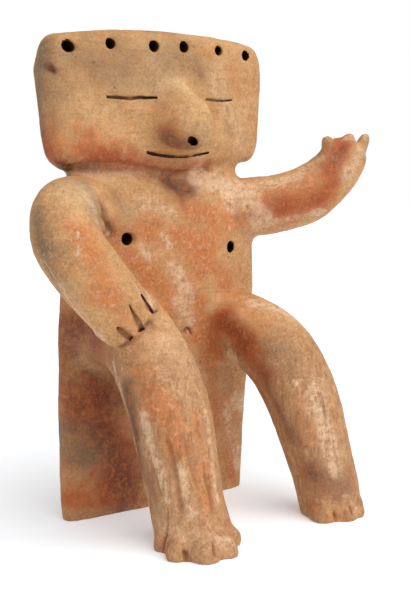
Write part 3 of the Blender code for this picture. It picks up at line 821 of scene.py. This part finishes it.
def terracotta(colors):
    """Low-fired earthenware, hand-modelled, wiped with a wet hand and lightly burnished.

    The eye gets a dry, nearly matt buff skin that turns orange and red where the fire had air, worn
    pale slip in flakes, grey fire clouds, soil in the hollows, and small pits left by grit. Light and shade
    are painted into the colour too: painted shade in the hollows, down the holes, in the deepest grooves,
    under the jaw and the left thigh, behind the right leg and on sides turned from the light, a painted
    highlight on the nose's ridge, and painted light on the lit band beside the left thigh."""
    material = bpy.data.materials.new("terracotta, low-fired and hand-burnished")
    material.use_nodes = True
    tree = material.node_tree
    tree.nodes.clear()
    where = add(tree, "ShaderNodeTexCoord").outputs["Object"]

    def noise(size_mm, detail, rough=0.6, vector=where, warp=0.0):
        """Noise with lumps of a real size."""
        return add(tree, "ShaderNodeTexNoise", {"Vector": vector, "Scale": 1000 / size_mm, "Detail": detail,
                                                "Roughness": rough, "Distortion": warp}).outputs["Fac"]

    def math_of(operation, first, second):
        """Result of a calculation on two values."""
        return add(tree, "ShaderNodeMath", {0: first, 1: second}, operation=operation).outputs[0]

    def times(first, second):
        """Product of two values."""
        return math_of("MULTIPLY", first, second)

    def plus(first, second):
        """Sum of two values."""
        return math_of("ADD", first, second)

    def span(value, low, high, to_low=0.0, to_high=1.0):
        """Value stretched from one span to another, with soft ends."""
        made = add(tree, "ShaderNodeMapRange", {"Value": value, "From Min": low, "From Max": high,
                                                "To Min": to_low, "To Max": to_high},
                   interpolation_type="SMOOTHSTEP")
        return made.outputs["Result"]

    def blend(share, first, second, mode="MIX"):
        """Two colours mixed."""
        first, second = (value if isinstance(value, bpy.types.NodeSocket) else (*value, 1.0)
                         for value in (first, second))
        inputs = {0: share, 6: first, 7: second}
        return add(tree, "ShaderNodeMix", inputs, data_type="RGBA", blend_type=mode).outputs[2]

    def mask(name):
        """One of the masks written on the mesh."""
        return add(tree, "ShaderNodeAttribute", attribute_name=name).outputs["Fac"]

    # The clay's grit is 0.2 to 0.5 mm; it is drawn coarser, as specks of 1.3 mm, so that the camera shows it
    broad, middling, fine = noise(42, 3), noise(12, 6, 0.68), noise(4.0, 6, 0.72)
    flake, speck = noise(3.0, 7, 0.7, warp=0.4), noise(1.3, 3, 0.7)
    spot = add(tree, "ShaderNodeSeparateXYZ", {"Vector": where}).outputs
    height, back = spot["Z"], spot["Y"]
    low = span(height, HIGH.z * 0.34, HIGH.z * 0.42, 1.0, 0.0)
    legs = times(low, span(back, place((0, -26, 0))[1], place((0, -12, 0))[1], 1.0, 0.0))
    behind = span(back, place((0, 3, 0))[1], place((0, 8, 0))[1])
    smoother = span(height, HIGH.z * 0.69, HIGH.z * 0.74, 1.0, 0.6)

    def wiped(size_mm, seed):
        """Noise drawn out by a wiping hand: sideways on the head and body, downwards on the legs."""
        ways = []
        for stretch in ((0.10, 0.4, 1.0), (1.0, 1.0, 0.12)):
            vector = add(tree, "ShaderNodeMapping",
                         {"Vector": where, "Location": (seed, 0, seed), "Scale": stretch})
            ways.append(noise(size_mm, 3, 0.6, vector=vector.outputs[0]))
        change = times(math_of("SUBTRACT", ways[1], ways[0]), legs)
        return plus(ways[0], change)

    wipe, streak = wiped(1.6, 0.0), wiped(3.6, 0.31)

    def stained(name, spread, hard):
        """Mask broken up by noise: spread is how ragged it is, hard how sharp its edges are."""
        noises = plus(plus(middling, flake), fine)
        ragged = times(math_of("SUBTRACT", noises, 1.5), spread)
        there = span(mask(name), 0.0, 0.4, 0.1, 1.0)
        total = plus(mask(name), times(ragged, there))
        return span(total, 0.5 - hard, 0.5 + hard)

    color = blend(span(broad, 0.35, 0.65), colors.buff, colors.tan)
    color = blend(span(middling, 0.45, 0.68, 0.0, 0.35), color, colors.orange)
    color = blend(times(legs, 0.6), color, colors.dun)
    # The back's own clouds: size in mm, detail, roughness, where one starts and is full, strength, colour
    for size_mm, detail, rough, start, full, most, tone in ((75, 5, 0.65, 0.47, 0.60, 0.75, colors.orange),
                                                            (52, 5, 0.65, 0.53, 0.66, 0.65, colors.soot_and_shade),
                                                            (33, 6, 0.70, 0.55, 0.68, 0.45, colors.slip)):
        cloud = span(noise(size_mm, detail, rough), start, full, 0.0, most)
        color = blend(times(cloud, behind), color, tone)
    # The stains, some of the umber and the fire clouds being painted shade: kind, how ragged, how sharp,
    # strength
    for name, spread, hard, most in (("orange", 1.2, 0.55, 0.85), ("red", 1.1, 0.60, 0.92),
                                     ("umber_and_shade", 1.0, 0.55, 0.88), ("soot_and_shade", 0.9, 0.60, 0.78)):
        color = blend(times(stained(name, spread, hard), most), color, getattr(colors, name))
    # Where the red stains and the umber of dirt and painted shade lie
    red_or_umber = math_of("MAXIMUM", mask("red"), mask("umber_and_shade"))
    color = blend(times(span(fine, 0.50, 0.62, 0.0, 0.5), red_or_umber), color, colors.orange)
    worn = times(math_of("SUBTRACT", 1.0, red_or_umber), smoother)
    # Film, and the painted highlight on the nose's ridge
    color = blend(times(mask("film_and_highlight"), 0.75), color, colors.film_and_highlight)
    color = blend(times(mask("pale"), 0.38), color, colors.slip)
    flaked = times(stained("pale", 2.0, 0.30), span(mask("pale"), 0.35, 0.60))
    color = blend(times(flaked, 0.6), color, colors.slip)
    color = blend(times(span(flake, 0.51, 0.64, 0.0, 0.36), worn), color, colors.slip)
    color = blend(times(span(flake, 0.35, 0.47, 0.42, 0.0), smoother), color, colors.earth)
    mottle = plus(times(fine, 0.5), times(speck, 0.5))
    color = blend(1.0, color, span(mottle, 0.36, 0.64, 0.78, 1.17), "MULTIPLY")
    color = blend(times(span(streak, 0.34, 0.50, 0.40, 0.0), plus(legs, 0.25)), color,
                  colors.earth)
    color = blend(span(wipe, 0.34, 0.42, 0.12, 0.0), color, colors.soil_and_shade)
    spotty = span(middling, 0.44, 0.58, 0.1, 0.8)
    dark_specks = times(span(speck, 0.29, 0.36, 1.0, 0.0), spotty)
    color = blend(times(dark_specks, 0.55), color, colors.soil_and_shade)
    color = blend(times(mask("scratch"), 0.9), color, colors.scuff)
    # Darker with a groove's depth: an earthy film, and in the deepest the umber of dirt and painted shade
    color = blend(span(mask("pressed"), 0.15, 0.80, 0.0, 0.70), color, colors.earth)
    color = blend(span(mask("pressed"), 0.80, 1.40, 0.0, 0.60), color, colors.umber_and_shade)
    # Painted shade with soil: darker where nearby clay hides the sky, near black in the deepest hollows
    hollow = plus(mask("hollow"), times(math_of("SUBTRACT", middling, 0.5), 0.4))
    color = blend(span(hollow, 0.30, 0.70, 0.0, 0.90), color, colors.soil_and_shade)
    color = blend(span(mask("hollow"), 0.72, 0.92, 0.0, 0.85), color, colors.deep_shade_and_dirt)
    color = blend(span(mask("grit"), 0.25, 1.0, 0.0, 0.5), color, colors.earth)
    # Painted shade with dirt: near black down the punched holes
    color = blend(span(mask("bore"), 0.1, 0.8, 0.0, 0.95), color, colors.deep_shade_and_dirt)

    rise = plus(times(fine, 0.00030), times(speck, 0.00016))
    rise = plus(rise, times(wipe, 0.00008))
    rise = plus(rise, times(times(streak, legs), 0.00030))
    rise = math_of("SUBTRACT", rise, times(dark_specks, 0.00020))
    bump = add(tree, "ShaderNodeBump", {"Strength": 1.0, "Distance": 1.0, "Height": rise})
    rough = span(plus(broad, times(fine, 0.4)), 0.4, 0.95, 0.52, 0.74)
    sheen = span(mask("bore"), 0.1, 0.8, 0.35, 0.0)
    shader = add(tree, "ShaderNodeBsdfPrincipled", {"Base Color": color, "Roughness": rough, "IOR": 1.48,
                                                    "Specular IOR Level": sheen, "Normal": bump.outputs[0]})
    add(tree, "ShaderNodeOutputMaterial", {"Surface": shader.outputs[0]})
    return material


def pale_floor(color):
    """Matt painted studio floor, lit from inside like a light table, so that its shadows stay pale."""
    material = bpy.data.materials.new("matt painted floor")
    material.use_nodes = True
    inputs = material.node_tree.nodes["Principled BSDF"].inputs
    inputs["Base Color"].default_value = inputs["Emission Color"].default_value = (*color, 1.0)
    inputs["Roughness"].default_value = 0.9
    inputs["Specular IOR Level"].default_value = 0.1
    inputs["Emission Strength"].default_value = 0.24
    return material


# Studio: the floor in metres, and the key light's spread, tilt from straight above and turn in degrees
FLOOR_WIDTH = 6.0
KEY_SPREAD, KEY_TILT, KEY_TURN = 75, 34, 16
KEY_TINT = (1.0, 0.985, 0.96)


# Add-on

def color_property(name, description, code):
    """Colour setting with an sRGB hex code as its default."""
    return FloatVectorProperty(name=name, description=description, subtype="COLOR", size=3, min=0, max=1,
                               default=linear(code))


def length_property(name, description, default):
    """Length setting in metres."""
    return FloatProperty(name=name, description=description, default=default, min=0.0002, max=0.05,
                         unit="LENGTH", subtype="DISTANCE", precision=4)


class StatuetteSizes(bpy.types.PropertyGroup):
    """Sizes of the finely modelled figure."""
    grain: length_property("Grain", "Edge length of the clay's skin before it is thinned out", 0.00100)
    hole_diameter: length_property("Head hole", "Diameter of the holes along the top of the head", 0.0054)
    nose_hole_diameter: length_property("Nose hole", "Diameter of the hole in the side of the nose", 0.0050)
    nipple_diameter: length_property("Nipple hole", "Diameter of the two holes in the chest", 0.0072)
    triangles: IntProperty(name="Triangles", description="Most triangles that the figure keeps",
                           default=TRIANGLES, min=20000, max=199000)


class StatuetteColors(bpy.types.PropertyGroup):
    """Colours of the fired clay and of what lies on it."""
    buff: color_property("Buff", "Clay where the fire was even", "#cb9c68")
    tan: color_property("Tan", "Darker buff of the broad patches", "#bd8d5b")
    dun: color_property("Dun", "Duller clay of the legs, where hands and ground have worn it", "#a97b55")
    orange: color_property("Orange", "Clay where the fire had air", "#c1713a")
    red: color_property("Red", "Most oxidised clay", "#9f461c")
    # Umber is dirt, and also painted shade in creases, hollows and on sides turned from the light
    umber_and_shade: color_property("Umber", "Dark clay where dirt has soaked in", "#603626")
    slip: color_property("Slip", "Worn pale slip", "#dab692")
    # Film also paints the highlight on the nose's ridge
    film_and_highlight: color_property("Film", "Even pale film where the clay was rubbed smooth", "#dcb681")
    # The fire cloud colour also paints shade on sides turned from the light
    soot_and_shade: color_property("Fire cloud", "Grey-brown clouds from smoke", "#74604a")
    earth: color_property("Earth", "Thin earthy film in the low places of the skin", "#8f5a34")
    # Soil also stands for painted shade in the hollows
    soil_and_shade: color_property("Soil", "Soil in the hollows and pits", "#3f2418")
    # Deep dirt also stands for painted shade in the deepest hollows and down the punched holes
    deep_shade_and_dirt: color_property("Deep dirt", "Dirt packed inside the holes", "#1c100b")
    scuff: color_property("Scuff", "Fresh pale scratches", "#e9d3bb")


class StatuetteStage(bpy.types.PropertyGroup):
    """Floor and light of the studio."""
    floor: color_property("Floor", "Colour of the painted floor", "#eef1f5")
    key: FloatProperty(name="Key light", description="Strength of the soft light from above and in front",
                       default=2.5, min=0, max=20)
    fill: FloatProperty(name="Fill light", description="Strength of the light from all round", default=0.47,
                        min=0, max=5)


class STATUETTE_OT_figure(bpy.types.Operator):
    """Model the fired-clay figure over the solid and give it its finish"""
    bl_idname = "statuette.figure"
    bl_label = "Clay figure"

    def execute(self, context):
        sizes, colors = context.scene.statuette_sizes, context.scene.statuette_colors
        item = fine_copy(sizes.grain)
        tree = tree_of(item.data)
        draw_detail(item.data, tree)
        holes = [punch(*hole, seed=i) for i, hole in enumerate(punches(sizes))]
        cut(item, holes + line_cutters(PRESSED_LINES, tree, 21))
        thin_out(item, sizes.triangles)
        stain_clay(item.data, sizes)
        item.data.materials.clear()
        item.data.materials.append(terracotta(colors))
        item.data.shade_smooth()
        item.name = "clay_figure"
        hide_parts(SOLID)
        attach(item, "root")
        return {"FINISHED"}


class STATUETTE_OT_stage(bpy.types.Operator):
    """Lay the pale floor and set the camera and the soft studio light"""
    bl_idname = "statuette.stage"
    bl_label = "Studio"

    def execute(self, context):
        scene, stage = context.scene, context.scene.statuette_stage
        half = FLOOR_WIDTH / 2
        corners = [(-half, -half, 0), (half, -half, 0), (half, half, 0), (-half, half, 0)]
        mesh = bpy.data.meshes.new("floor")
        mesh.from_pydata(corners, [], [(0, 1, 2, 3)])
        floor = new_object("floor", mesh)
        floor.data.materials.append(pale_floor(stage.floor))

        lamp = bpy.data.lights.new("key light", "SUN")
        lamp.energy = stage.key
        lamp.angle = math.radians(KEY_SPREAD)
        lamp.color = KEY_TINT
        key = new_object("key light", lamp)
        key.rotation_euler = (math.radians(KEY_TILT), 0, math.radians(KEY_TURN))

        world = bpy.data.worlds.new("studio")
        world.use_nodes = True
        tree = world.node_tree
        tree.nodes.clear()
        seen = add(tree, "ShaderNodeLightPath").outputs["Is Camera Ray"]
        strength = add(tree, "ShaderNodeMix", {0: seen, 2: stage.fill, 3: 1.0}, data_type="FLOAT").outputs[0]
        sky = add(tree, "ShaderNodeBackground", {"Color": (1, 1, 1, 1), "Strength": strength})
        add(tree, "ShaderNodeOutputWorld", {"Surface": sky.outputs[0]})
        scene.world = world
        scene.view_settings.view_transform = "Standard"

        view = bpy.data.cameras.new("camera")
        view.lens = CAMERA_LENS
        view.sensor_width = CAMERA_SENSOR
        view.clip_end = 20
        camera = new_object("camera", view)
        camera.location = place(CAMERA_PLACE)
        camera.rotation_euler = (math.radians(90 - CAMERA_FALL), 0, math.radians(CAMERA_TURN))
        scene.camera = camera
        return {"FINISHED"}


class STATUETTE_PT_panel(bpy.types.Panel):
    """Sidebar panel with the figure's sizes, colours and studio"""
    bl_idname = "STATUETTE_PT_panel"
    bl_label = "Seated slab figure"
    bl_space_type = "VIEW_3D"
    bl_region_type = "UI"
    bl_category = "Statuette"

    def draw(self, context):
        scene = context.scene
        for group in (scene.statuette_sizes, scene.statuette_colors, scene.statuette_stage):
            box = self.layout.box()
            for name in group.__annotations__:
                box.prop(group, name)
        self.layout.operator(STATUETTE_OT_figure.bl_idname)
        self.layout.operator(STATUETTE_OT_stage.bl_idname)


CLASSES = (StatuetteSizes, StatuetteColors, StatuetteStage, STATUETTE_OT_figure, STATUETTE_OT_stage,
           STATUETTE_PT_panel)


def register():
    """Add the classes and their settings to Blender."""
    for item in CLASSES:
        bpy.utils.register_class(item)
    bpy.types.Scene.statuette_sizes = PointerProperty(type=StatuetteSizes)
    bpy.types.Scene.statuette_colors = PointerProperty(type=StatuetteColors)
    bpy.types.Scene.statuette_stage = PointerProperty(type=StatuetteStage)


def unregister():
    """Take the classes and their settings out again."""
    del bpy.types.Scene.statuette_sizes
    del bpy.types.Scene.statuette_colors
    del bpy.types.Scene.statuette_stage
    for item in reversed(CLASSES):
        bpy.utils.unregister_class(item)


def main():
    """Build the figure and the studio."""
    register()
    bpy.ops.statuette.figure()
    bpy.ops.statuette.stage()


if __name__ == "__main__":
    main()
